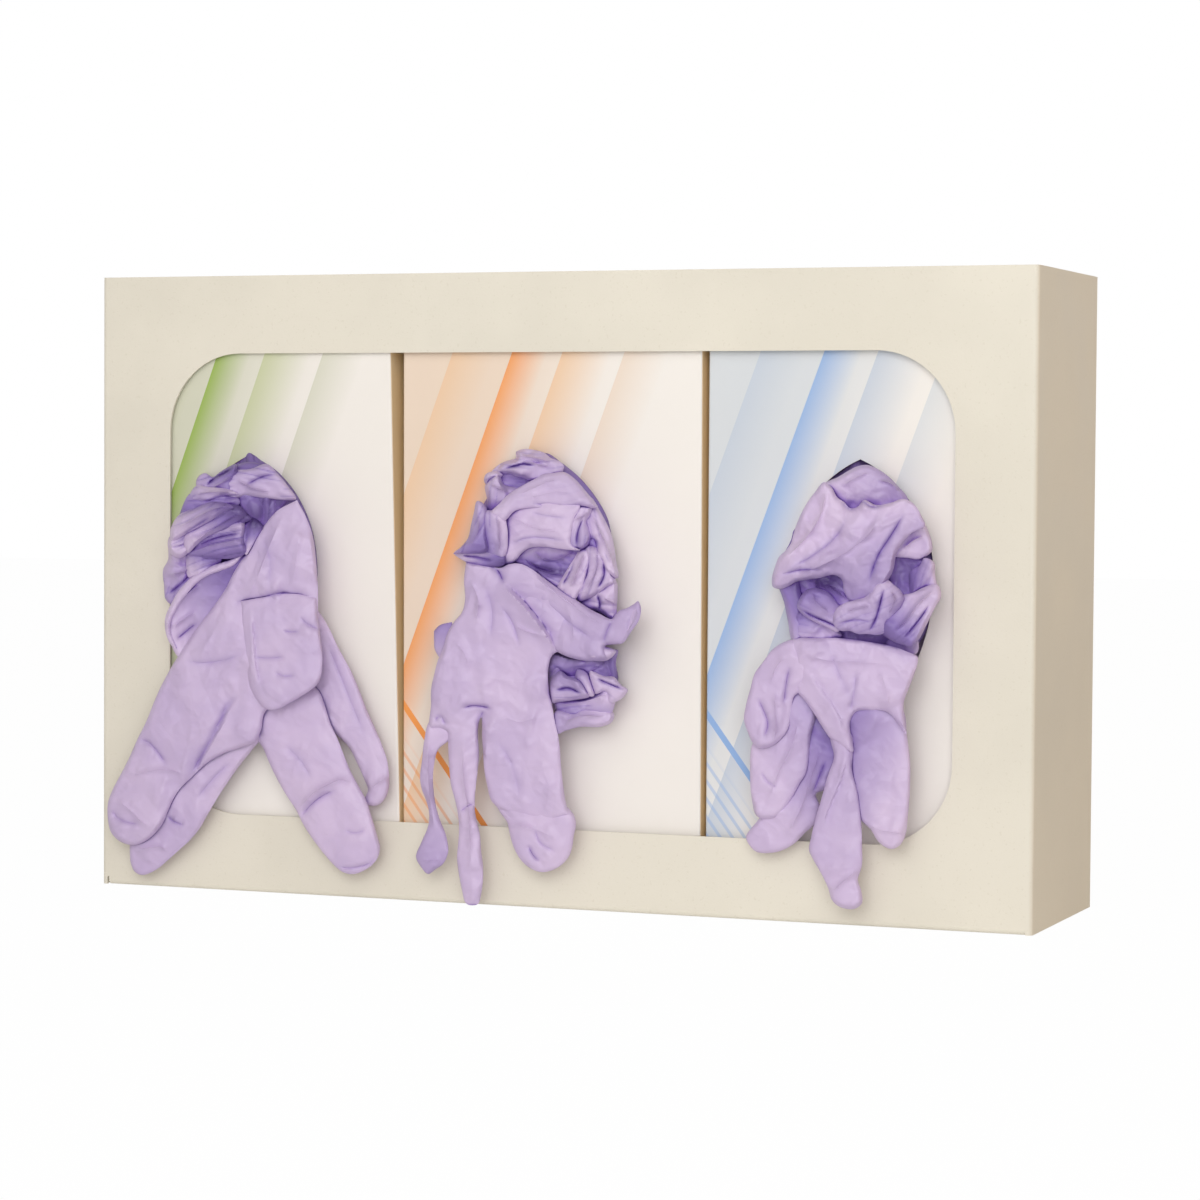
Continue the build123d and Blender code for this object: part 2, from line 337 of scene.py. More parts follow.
def to_line(points, line, closed):
    """Distance from each point to a line, the side it lies on, and how far along the nearest place is."""
    starts = line if closed else line[:-1]
    ends = np.roll(line, -1, axis=0) if closed else line[1:]
    runs = ends - starts
    lengths = np.linalg.norm(runs, axis=1) + 1e-9
    before = np.concatenate([[0], np.cumsum(lengths)[:-1]])
    best = np.full(len(points), 1e9)
    sign, along = np.ones(len(points)), np.zeros(len(points))
    for start, run, length, done in zip(starts, runs, lengths, before):
        offset = points - start
        t = np.clip(offset @ run / length**2, 0, 1)
        gap = np.linalg.norm(offset - t[:, None] * run, axis=1)
        nearer = gap < best
        side = np.where(run[0] * offset[:, 1] - run[1] * offset[:, 0] > 0, 1.0, -1.0)
        best = np.where(nearer, gap, best)
        sign = np.where(nearer, side, sign)
        along = np.where(nearer, done + t * length, along)
    return best, sign, along / lengths.sum()


def open_line(points, step):
    """Smooth open line through the points."""
    closed = rounded([(*points[0], 1)] + points[1:-1] + [(*points[-1], 1)], step)
    parts = sum(max(1, int(round(math.dist(a, b) / step))) for a, b in zip(points[:-1], points[1:]))
    return np.vstack([closed[:parts], points[-1]])


PX = 0.43  # millimetres that one photo pixel spans at the object
RIM = 0.2  # half the thickness of the film at an edge, mm
ROLL_RUN, ROLL_RISE = 1.4, 0.6  # width and height of the rolled fold along an edge, mm
VALLEY_SHADE = 0.22  # painted shade added for each millimetre of a crease's depth
TUCK_PX = 6.0  # how far a lobe runs on under the lobe in front of it, pixels
TAPER = 0.10  # share by which a rooted lobe narrows towards its root
HANG_RUN = 40.0  # pixel rows over which a hanging lobe leaves its root
STEP_WIDTH = 0.9  # run over which one side of a stepped crease rises, mm
CREASE_FADE = 1.5  # run over which creases fade out towards a lobe's edge, mm
PLEAT_PX, PLEAT_SWAY, PLEAT_BEND = 7.5, 2.6, 15.0  # how far apart pleats lie, how far and how often they bend
PLEAT_SHADE = 3.0  # painted shade added for each millimetre of a pleat's trough depth
FACETS = ((95.0, 0.12), (64.0, 0.17), (43.0, 0.22), (29.0, 0.26), (19.0, 0.28), (13.0, 0.24))  # px, slope
WARP_RATE, WARP_PX = 0.011, 20  # how often, per pixel, and how far crumples stray from straight lines
noise.seed_set(1)  # without a seed, noise_vector draws its offsets from the clock
ROW_STEP = 0.866  # rows of the triangle grid, in spacings
OFF_LINE, OFF_RIM = 0.6, 0.5  # how far the grid keeps off creases and the rim, in spacings
LEAN_TURN = 2.4  # turn from one lobe's own lean to the next one's, radians
SHARP_EDGE = math.radians(48)


def fraction(value):
    return value - math.floor(value)


def crumple(x, y, seed):
    """Nearly flat facets between sharp crossing creases, as on thin film that was packed flat."""
    warp = noise.noise_vector(Vector((x * WARP_RATE, y * WARP_RATE, seed * 2.9))) * WARP_PX
    x, y = x + warp.x, y + warp.y
    height = 0.0
    for k, (wave, steep) in enumerate(FACETS):
        turn = math.pi * fraction(seed * 0.618 + k * GOLDEN_TURN)
        along = (x * math.cos(turn) + y * math.sin(turn)) / wave + fraction(seed * 0.37 + k * 0.71)
        here = noise.noise(Vector((x / wave * 0.8, y / wave * 0.8, seed * 1.9 + k * 11.3)))
        share = min(max(here * 4 + 0.35 - 0.13 * k, 0.0), 1.0)
        height += share * steep * wave * PX * abs(fraction(along) - 0.5)
    return height


def pleats(points, rim, seed):
    """Thin parallel folds along a lobe's longer way, from -0.5 in their troughs to 0.5 on their ridges."""
    spread = np.linalg.svd(rim - rim.mean(0), full_matrices=False)[2]
    along, across = ((points - rim.mean(0)) @ spread.T).T
    bent = (across + PLEAT_SWAY * np.sin(along / PLEAT_BEND + seed)) / PLEAT_PX + seed * 0.37
    ridge = np.abs(bent - np.floor(bent) - 0.5) * 2
    here = [noise.noise(Vector((x * 0.045, y * 0.045, seed * 3.1))) for x, y in points]
    return (ridge - 0.5) * np.clip(np.array(here) * 3 + 0.7, 0, 1)


def inside(points, rim):
    """Whether each point lies within the closed line."""
    found = np.zeros(len(points), bool)
    for (ax, ay), (bx, by) in zip(rim, np.roll(rim, -1, axis=0)):
        if ay != by:
            crosses = (ay > points[:, 1]) != (by > points[:, 1])
            found ^= crosses & (points[:, 0] < ax + (points[:, 1] - ay) / (by - ay) * (bx - ax))
    return found


def sheet(rim, lines, spacing):
    """Fills the rim with triangles, with some of their corners along the lines."""
    low, high = rim.min(0) - spacing, rim.max(0) + spacing
    rows = np.arange(low[1], high[1], spacing * ROW_STEP)
    grid = np.array([
        (x + (spacing / 2 if k % 2 else 0), y)
        for k, y in enumerate(rows) for x in np.arange(low[0], high[0], spacing)
    ])
    for line in lines:
        grid = grid[to_line(grid, line, False)[0] > spacing * OFF_LINE]
    grid = np.vstack([grid] + lines)
    grid = grid[inside(grid, rim) & (to_line(grid, rim, True)[0] > spacing * OFF_RIM)]
    count = len(rim)
    edges = [(i, (i + 1) % count) for i in range(count)]
    corners = [Vector(p) for p in np.vstack([rim, grid])]
    flat, _, faces, _, _, _ = delaunay_2d_cdt(corners, edges, [], 1, 1e-4)
    return np.array([tuple(p) for p in flat]), faces


def both_sides(points, faces):
    """Faces of a front and a back sheet and of the strip that joins their open edges."""
    total = len(points)
    made, open_edges = [], set()
    for a, b, c in (face[:3] for face in faces):
        (ax, ay), (bx, by), (cx, cy) = points[a], points[b], points[c]
        if (bx - ax) * (cy - ay) - (by - ay) * (cx - ax) > 0:
            b, c = c, b
        made.append((a, b, c))
        made.append((a + total, c + total, b + total))
        for pair in ((a, b), (b, c), (c, a)):
            if pair[::-1] in open_edges:
                open_edges.remove(pair[::-1])
            else:
                open_edges.add(pair)
    for a, b in sorted(open_edges):
        made.append((b, a, a + total, b + total))
    return made


def film(outline, ahead, puff=2.0, edge=5.0, slope=(0.0, 0.0), creases=(), grain=0.5, root=None, hang=None,
         inner=(0.0, 0.0, 0.0), tilt=0.0, shut=VALLEY_SHADE, crisp=1.0, pleat=0.0, spacing=1.8, seed=0):
    """One lobe of glove film: its traced outline, filled, swelled and creased. Depths are in mm.

    Its rim lies ahead of the steel. Within edge of the rim it swells by puff, and it leans by slope and, each
    lobe its own way, by tilt. Grain is the height of its crumples and pleat that of its pleats, crisp narrows
    its creases and shut is how much painted shade darkens them. A lobe with a root reaches back to that
    depth, all over or, with hang, only above that pixel row. Its shade setting is the painted shade of the
    lobe, in its middle, and how that grows to the right and down. Returns vertices, faces and each vertex's
    painted shade.
    """
    rim = rounded(outline)
    lines = [open_line(line, spacing) for line, *_ in creases]
    points, faces = sheet(rim, lines, spacing)
    gap = to_line(points, rim, True)[0] * PX
    reach = np.clip(gap / edge, 0, 1)
    roll = np.sqrt(1 - (1 - np.clip(gap / ROLL_RUN, 0, 1)) ** 2)
    dome = ROLL_RISE * roll + puff * reach**2 * (3 - 2 * reach)
    lean = np.array(slope) + tilt * np.array((math.cos(LEAN_TURN * seed), math.sin(LEAN_TURN * seed)))
    base = ahead + (points - rim.mean(0)) @ lean * PX
    rise = np.array([crumple(x, y, seed) for x, y in points]) * grain
    folds = pleats(points, rim, seed) * pleat
    rise += folds
    # painted shade in the pleat troughs
    valley = np.maximum(-folds - 0.2 * pleat, 0) * PLEAT_SHADE
    for (_, height, width, *kind), line in zip(creases, lines):
        off, side, along = to_line(points, line, False)
        off *= PX
        fall = np.exp(-off / (width * crisp))
        if kind:
            fall = fall * (0.4 + 0.6 * np.clip(side * off / STEP_WIDTH, -1, 1))
        fold = height * np.clip(np.sin(np.pi * along) * 1.6, 0, 1) * fall
        rise += fold
        # painted shade along the crease's valley
        valley += np.maximum(-fold, 0) * shut
    rise *= np.clip(gap / CREASE_FADE, 0, 1)
    front = base + RIM + dome + rise
    back = base - RIM - dome * 0.5 + np.minimum(rise, 0)
    inward = np.zeros(len(points))
    if root is not None:
        share = np.ones(len(points)) if hang is None else np.clip((hang - points[:, 1]) / HANG_RUN, 0, 1)
        share = share**2 * (3 - 2 * share)
        back = back + (np.minimum(root, back) - back) * share
        inward = TAPER * share
    narrowed = points + (rim.mean(0) - points) * inward[:, None]
    fronts = unproject(points[:, 0], points[:, 1], front)
    backs = unproject(narrowed[:, 0], narrowed[:, 1], back)
    half = (rim.max(0) - rim.min(0)) / 2
    # each vertex's painted shade: the lobe's own shade setting plus the painted shade of its creases and
    # pleat troughs
    shade = inner[0] + (points - (rim.max(0) + rim.min(0)) / 2) / half @ np.array(inner[1:]) + valley
    shade = np.clip(shade, 0, 2)
    return np.vstack([fronts, backs]) * MM, both_sides(points, faces), np.concatenate([shade, shade])


def tucked(own, lobes):
    """The lobe's outline, pushed a little way under each lobe in front that it runs up to."""
    line = np.array([p[:2] for p in own["outline"]], float)
    run = np.roll(line, -1, axis=0) - np.roll(line, 1, axis=0)
    out = np.stack([run[:, 1], -run[:, 0]], axis=1) / (np.linalg.norm(run, axis=1)[:, None] + 1e-9)
    area = np.sum(line[:, 0] * np.roll(line[:, 1], -1) - np.roll(line[:, 0], -1) * line[:, 1])
    pushed = line + out * TUCK_PX * (1 if area > 0 else -1)
    for other in lobes:
        if other["ahead"] > own["ahead"]:
            hidden = inside(pushed, rounded(other["outline"]))
            line[hidden] = pushed[hidden]
    return [(x, y, *p[2:]) for (x, y), p in zip(line.tolist(), own["outline"])]


def glove(name, lobes, replaced, **ways):
    """Joins a glove's lobes into a piece that stands for its CAD node; ways are settings they share."""
    vertices, faces, shades, offset = [], [], [], 0
    for number, own in enumerate(lobes):
        settings = {**ways, **own, "outline": tucked(own, lobes)}
        points, lobe_faces, shade = film(seed=number + len(name), **settings)
        used = sorted({int(i) for face in lobe_faces for i in face})
        place = {old: new + offset for new, old in enumerate(used)}
        vertices.extend(points[used].tolist())
        shades.extend(shade[used].tolist())
        faces.extend([tuple(place[int(i)] for i in face) for face in lobe_faces])
        offset += len(used)
    mesh = bpy.data.meshes.new(name)
    mesh.from_pydata(vertices, [], faces)
    # painted shade share of each vertex, read by the film's material
    mesh.attributes.new("inner", "FLOAT", "POINT").data.foreach_set("value", shades)
    mesh.validate()
    mesh.shade_smooth()
    mesh.set_sharp_from_angle(angle=SHARP_EDGE)
    piece = bpy.data.objects.new(name, mesh)
    bpy.context.scene.collection.objects.link(piece)
    dress(piece, glove_film)
    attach(piece, "root")
    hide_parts(replaced)


# ---------------------------------------------------------------- left glove
# Outlines and creases are in photo pixels, depths and heights in mm. Each lobe's shade setting is painted
# shade: how much darker violet its colour is painted, in its middle and towards the right and down.
LEFT_BUNCH = [
    # neck that comes out of the opening, behind the folds, painted dark violet with shade
    lobe("222,469 236,460 249,451 262,460 277,471 293,489 305,510 313,533 317,560 317,585 312,610 "
         "300,638 280,648 240,654 202,642 187,615 181,585 181,560 185,535 192,515 202,495 212,480", -5.5,
         inner=(1.15, 0.1, -0.2), puff=10.6, edge=13, grain=0.9, root=None),
    # strips of the gathered cuff, top to bottom
    lobe("168,560 172,548 190,552 198,566 196,580 188,592 176,606 166,600 164,585 163,570", 7,
         ("170,575 182,572 194,566", 2.9, 1.3), ("168,594 182,583 192,572", -1.8, 1.1),
         inner=(0.45, 0.1, 0.25), puff=1.1, grain=1.6),
    lobe("190,556 215,557 222,560 214,567 205,574 196,580 188,577 186,566", 12, inner=(0.65, 0.65, -0.9),
         puff=0.7, grain=0.9),
    lobe("168,540 178,536 192,532 196,540 190,552 180,558 170,553", 15, ("170,548 182,545 192,540", -1.2, 1),
         inner=(0.35, 0.5, -0.85), puff=0.9, grain=1.1),
    lobe("235,494 262,494 289,498 278,511 264,527 252,522 240,508", 9, inner=(1.4, 0.4, 0.4), puff=0.5,
         grain=0.9),
    lobe("188,557 187,548 205,539 222,530 241,526 244,540 247,552 235,558 215,559 195,559", 15,
         ("192,552 212,545 240,540", 2.1, 1.3), ("200,544 220,537 240,533", -1.8, 0.9),
         inner=(0.6, 0.1, 0.55), puff=1.1, edge=4, grain=1),
    lobe("240,530 252,523 263,526 257,538 251,548 246,555 242,545", 15, inner=(0.95, 0, -1.4), puff=0.6,
         grain=0.7),
    lobe("184,546 190,536 204,527 216,518 228,510 240,506 247,513 252,519 236,525 222,530 208,537 "
         "196,546 188,553", 19, ("192,544 208,532 228,520 244,513", 2.3, 1.1), inner=(0.6, 0.85, -0.75),
         puff=1.1, edge=3.5, grain=0.9),
    lobe("170,533 173,523 180,514 195,508 210,502 226,503 234,508 222,513 214,519 200,527 185,535 "
         "172,541", 21, ("178,528 196,518 214,509 228,506", 2.3, 1.2),
         ("180,536 196,526 210,517", -1.8, 0.9), inner=(0.3, 0.4, -0.5), puff=1.1, edge=3.5, grain=0.9),
    lobe("183,505 192,499 212,498 238,498 240,503 225,506 205,505 193,511 183,515", 17, inner=(1, 0, 0.5),
         puff=0.7, edge=3, grain=0.7),
    lobe("189,498 196,486 210,487 228,489 238,494 224,496 206,497 192,502", 18,
         ("196,494 212,492 230,492", 1.6, 0.8), inner=(0.15, -0.3, 0.2), puff=0.8, edge=3, grain=0.7),
    lobe("196,484 198,477 205,473 213,477 220,472 230,466 236,464 238,471 233,481 227,490 212,491 "
         "203,489", 15, ("206,486 215,478 226,472 234,467", -2.3, 1), ("212,488 222,483 232,476", 1.8, 0.8),
         inner=(0.7, 0.45, -0.1), puff=0.8, edge=3, grain=0.8),
    lobe("225,491 228,484 236,476 250,469 267,464 278,474 288,486 296,499 264,498 245,496 233,495", 13,
         ("276,474 262,477 246,485", -1.2, 1.1), ("238,480 252,488 270,492", 1.6, 1.3), inner=(0.3, 0, -0.2),
         puff=0.8, edge=4, grain=0.5),
    lobe("232,476 237,465 250,462 263,465 268,468 252,471 240,476", 10, inner=(1.3, 0.4, 0), puff=0.7,
         edge=3, grain=0.5),
]
LEFT_HANGING = [
    # finger behind, right
    lobe("316,606 322,616 330,630 337,645 345,660 353,675 360,692 367,710 375,728 382,745 387,760 "
         "389,775 389,787 386,797 380,804 374,806 369,801 368,790 365,781 357,763 348,746 338,728 "
         "325,706 312,690 308,660", 5, ("325,640 338,670 352,705 366,740", -1.1, 1.4),
         ("369,790 378,783 388,777", 1.5, 1.2), puff=1, edge=6, grain=0.3, slope=(0, -0.02)),
    # cuff band that turns back behind the palm, its inside showing, painted darker with shade
    lobe("246,552 230,562 214,567 205,572 194,578 182,590 172,606 166,620 167,634 171,645 180,652 "
         "194,645 215,620 235,590", 12, ("172,628 182,620 196,612", 2, 1.1),
         ("176,640 188,630 198,622", -1.8, 0.9), ("180,598 190,592 200,584", 1.8, 1), inner=(0.6, 0.5, -0.4),
         root=-1.0, puff=-3.2, edge=8, grain=0.5),
    # bright edge of that band
    lobe("246,551 230,560 214,565 204,570 193,576 181,588 171,604 165,619 166,634 171,645 176,649 "
         "171,634 171,621 177,608 187,594 198,582 209,575 220,571 234,565", 14, root=-1.0, puff=0.4, edge=2,
         grain=0.3),
    # middle finger, runs down to the right
    lobe("262,700 261,735 263,748 268,760 275,775 285,793 296,810 303,824 312,838 325,855 337,868 "
         "345,873 354,874 363,871 372,865 378,857 380,847 377,835 372,818 366,800 358,785 350,770 "
         "345,758 338,740 330,722 325,706 318,690 300,685 280,690", 8,
         ("297,811 304,803 315,792 328,785 341,780 352,784", 2.2, 1.4),
         ("300,818 310,806 324,795 338,790", -1.8, 1.2), ("335,866 350,868 368,864 377,856", -1.2, 0.9),
         ("344,830 355,833 366,830", -1, 0.9), ("285,745 300,760 312,780", -1, 1.3), puff=1.4, edge=8,
         grain=0.4),
    # lower left finger, behind the forefinger
    lobe("262,735 252,750 240,765 228,782 218,797 208,814 200,828 190,840 178,851 168,860 160,867 "
         "150,873 142,875 135,872 131,864 130,855 136,842 150,826 160,808 168,795 180,775 200,748 "
         "225,728 250,722", 8, ("134,851 148,848 160,847 169,851", 1.5, 1),
         ("166,815 175,822 185,825", -1.5, 1), ("196,800 212,780 232,760", -1.2, 1.4),
         inner=(0.05, -0.1, 0.05), puff=1.2, edge=7, grain=0.4),
    # palm and forefinger, one sheet
    lobe("297,500! 277,511 264,526 256,537 250,548 243,558 234,572 226,588 214,606 200,624 194,632 "
         "182,650 168,673 157,695 146,722 137,740 130,756 122,772 113,789 108,803 108,820 111,832 "
         "118,840 126,844 134,845 142,843 150,838 158,830 164,821 168,811 173,800 179,790 191,778 "
         "207,763 225,753 243,747 255,742 261,730 266,711 300,697 320,660 318,612 318,590 316,560 "
         "313,537 306,517", 13,
         ("239,695 228,709 222,722 213,739 206,751 197,768 190,780", -3.8, 1.6, "step"),
         ("127,770 135,774 150,771 165,770 178,772 187,778", 1.6, 1.2),
         ("138,740 148,742 158,752 167,766", -1.5, 1.1), ("116,800 125,806 135,815 142,822 151,826", 1.4, 1),
         ("110,808 118,818 130,823 141,824", -1.1, 0.9),
         ("184,660 200,663 213,662 228,659 244,652", -1.1, 1.2),
         ("232,605 242,601 258,599 280,593 315,597", -2, 1.2), ("284,512 270,545 256,580 244,603", 1.8, 2.2),
         ("300,530 296,560 292,590", 1.1, 2.2), ("262,535 270,560 268,590", -1, 1.8),
         ("228,600 215,630 200,655", 1.2, 1.9), inner=(0.1, 0, 0), root=-1.0, hang=640, puff=1.5, edge=9,
         grain=0.6, slope=(0.02, -0.015)),
    # thumb, folded over the palm
    lobe("241,601! 241,622 243,640 245,655 247,670 250,687 256,698 262,706 269,710 278,709 288,704 "
         "300,697 311,690 319,682 322,668 322,650 321,640 319,628 317,612 316,598! 300,594 280,594 "
         "258,598", 16.5, ("251,606 253,640 256,672 262,695", 2.2, 1.6, "step"),
         ("282,630 292,632 301,631", -1, 0.7), ("252,657 268,658 286,657", -1.1, 0.9),
         ("274,672 284,676 296,675", -1, 0.9), ("299,616 308,624 321,630", -1.2, 1), inner=(0.1, 0, 0),
         puff=1.8, edge=7, grain=0.4, slope=(0.0, 0.05)),
]
glove("gathered_left", LEFT_BUNCH, "next_glove_left",
      root=-1.0, tilt=0.14, shut=0.5, crisp=0.62, pleat=0.6, spacing=1.4)
glove("hanging_left", LEFT_HANGING, "hanging_glove_left")

# ---------------------------------------------------------------- middle glove
MIDDLE_BUNCH = [
    # neck that comes out of the opening, behind the folds, painted dark violet with shade
    lobe("512,477 530,463 546,453 562,463 580,478 595,496 607,517 615,545 618,572 617,600 611,628 "
         "598,656 570,680 530,690 496,660 481,615 474,575 477,545 485,515 497,494", -6.5,
         inner=(1.2, 0, 0.1), puff=10.6, edge=13, grain=0.9, root=None),
    # cavity and crumpled cuff at the lower right, with painted shade in the cavity
    lobe("553,700 570,697 590,692 605,688 614,686 610,700 607,710 590,710 570,712 556,712", 9,
         ("560,705 585,701 608,694", 1.6, 1), inner=(0.2, -0.4, 0.7), puff=0.7, edge=3, grain=1),
    lobe("556,711 570,712 590,708 606,708 614,714 612,722 600,727 580,727 565,731 557,734 553,722", 11,
         ("562,722 582,716 606,716", 1.8, 1), inner=(0.2, -0.4, 0), puff=0.8, edge=3, grain=1),
    lobe("550,682 560,671 568,676 576,684 582,691 590,696 576,700 560,702 551,703", 13,
         ("556,690 568,688 582,694", -1.8, 0.8), inner=(0.5, 0, -0.3), puff=0.8, edge=3, grain=1),
    lobe("578,669 586,672 592,682 594,696 586,695 580,686 575,677", 14, inner=(0.2, -0.4, -0.3), puff=0.7,
         edge=3, grain=0.5),
    lobe("590,671 604,676 614,677 621,685 628,690 620,700 609,703 606,692 595,694 591,682", 14,
         ("596,678 610,684 624,690", -1.6, 0.8), puff=0.7, edge=3, grain=1),
    lobe("600,645 608,650 618,650 616,662 613,678 604,675 594,668 590,660", 8, inner=(1.1, 0, 0.5), puff=0.5,
         edge=3, grain=0.8),
    # upper ruffle
    lobe("497,474 505,468 520,466 540,470 545,476 528,484 515,491 504,486", 8, inner=(1, 1, 0.5), puff=0.4,
         grain=0.9),
    lobe("516,452 524,449 535,450 545,453 551,458 559,461 564,466 557,471 550,474 540,476 530,475 "
         "523,478 517,477 510,474 501,471 502,463 510,460 516,458", 12,
         ("518,456 530,457 540,459 551,462", 2.1, 0.8), ("503,469 515,466 524,464 536,466", -2.1, 0.8),
         ("520,461 534,463 550,467", 1.3, 0.7), inner=(0.15, 0, 0.1), puff=0.8, edge=3, grain=1),
    lobe("484,481 486,474 495,471 503,474 500,478 491,481 487,485", 13, inner=(0.25, 0, 0.4), puff=0.7,
         edge=3, grain=0.5),
    lobe("485,486 489,479 497,478 504,484 514,490 506,497 499,506 492,511 487,499", 12,
         ("489,484 498,488 508,492", 1.6, 0.8), inner=(0.35, 0, 0.3), puff=0.7, edge=3, grain=0.8),
    # crumpled lining, right and lower middle, the lower middle painted dark with shade
    lobe("578,604 588,598 597,592 609,586 616,581 617,605 615,622 606,616 597,611 586,610", 9,
         ("597,594 600,604 598,612", -2.1, 1), ("604,598 616,604", 1.6, 0.8), puff=0.7, edge=4, grain=0.9),
    lobe("516,560 527,549 533,546 545,546 560,547 578,549 574,560 568,572 563,582 550,579 534,573 "
         "521,565", 10, ("534,552 546,560 562,558 574,552", 2.3, 1.1), ("524,560 538,568 556,572", -1.8, 1),
         inner=(1, 0, 1.4), puff=0.6, edge=4, grain=1),
    lobe("538,571 552,575 564,579 560,590 549,584 540,577", 13, inner=(0.65, 0, -0.8), puff=0.6, edge=3,
         grain=0.5),
    # right strips and fans
    lobe("592,503 600,511 606,522 611,533 614,545 616,560 618,578 612,571 606,560 600,550 595,542 "
         "591,536 587,525 586,515", 12, ("592,515 600,532 608,550 613,566", 2.1, 1), puff=0.8, edge=3.5,
         grain=0.8),
    lobe("570,518 576,511 585,510 592,506 591,515 587,522 590,530 591,537 587,547 578,550 569,545", 15,
         ("574,520 582,516 588,512", 1.7, 0.8), ("583,518 578,532 576,546", -1.4, 0.9), inner=(0.2, 0, 0.5),
         puff=0.8, edge=3, grain=0.8),
    lobe("586,539 594,538 598,545 602,551 594,550 586,549", 12, inner=(0.85, 0.3, 0), puff=0.5, edge=2,
         grain=0.7),
    lobe("580,549 587,548 593,550 592,561 589,571 586,585 580,593 574,600 564,595 557,588 562,578 "
         "568,568 575,557", 15, ("585,552 578,570 570,588", 2, 1.1), ("574,562 568,576 562,586", -1.6, 0.8),
         puff=0.8, edge=4, grain=0.8),
    lobe("592,549 600,549 606,558 612,570 616,583 608,587 600,593 590,598 579,601 580,593 587,583 "
         "592,570", 14, ("596,553 597,565 593,577 586,588", 2.1, 1), ("604,562 604,576 598,588", -1.7, 0.9),
         inner=(0.1, 0, 0), puff=1, edge=4, grain=0.8),
    # big upper panels
    lobe("503,513 515,508 535,505 560,508 576,510 574,520 572,530 572,545 580,550 560,549 545,547 "
         "530,548 522,553 517,559 510,564 502,562 504,550 506,538 504,525", 16,
         ("507,515 520,521 532,527 546,530 562,531", 1, 1.4), ("510,545 526,538 545,538 566,541", -0.9, 1.3),
         ("530,512 548,516 568,518", -0.6, 1.1), puff=1.1, edge=5, grain=0.5, pleat=0.12),
    lobe("513,491 525,484 538,477 543,474 552,473 564,472 575,479 584,489 593,500 598,508 580,507 "
         "565,510 550,509 530,508 515,511 503,515 496,512 500,503 506,496", 18,
         ("516,496 532,489 548,482 562,480", 0.9, 1.3), ("530,503 548,505 566,506 588,502", -0.9, 1.1),
         ("524,500 542,495 560,492 576,494", 0.6, 1.3), inner=(0.1, 0, 0), puff=1.1, edge=5, grain=0.5,
         pleat=0.12),
    # vertical roll and left flap
    lobe("488,515 496,511 504,515 507,526 508,540 507,551 503,560 496,558 490,549 487,540 487,525", 19,
         ("496,515 499,530 499,552", 1.8, 1), inner=(0.45, -0.65, 0.35), puff=1, edge=4, grain=0.5),
    lobe("454,553 470,551 488,549 494,556 501,560 504,565 490,567 475,566 464,561", 17,
         ("460,555 476,557 494,561", -1.3, 0.8), inner=(0.35, 1, 0.7), puff=0.7, edge=3, grain=0.5),
    lobe("477,501 483,503 487,510 488,520 487,535 488,551 470,554 453,554! 462,546 468,538 471,525 "
         "474,512", 20, ("478,510 478,530 470,548", 1.3, 1.3), inner=(0.55, 0.4, 0.5), puff=0.7, edge=4,
         grain=0.7, slope=(0.05, 0.0)),
    # folds that show below the cuff
    lobe("549,652 575,656 600,656 614,660 615,676 604,690 585,698 562,700 548,690", 4,
         ("552,664 566,676 584,690", -1.6, 1.2), ("610,662 590,672 572,694", 1.4, 1.2),
         inner=(1.0, 0.1, 0.3), puff=1.5, edge=4, grain=1.4),
    lobe("551,668 560,662 572,666 580,676 570,690 556,692", 8, inner=(0.5, 0, -0.4), puff=1.0, edge=3,
         grain=1.2),
    lobe("578,664 590,660 604,664 600,676 588,684 580,678", 7, inner=(0.7, 0, -0.3), puff=1.0, edge=3,
         grain=1.2),
]
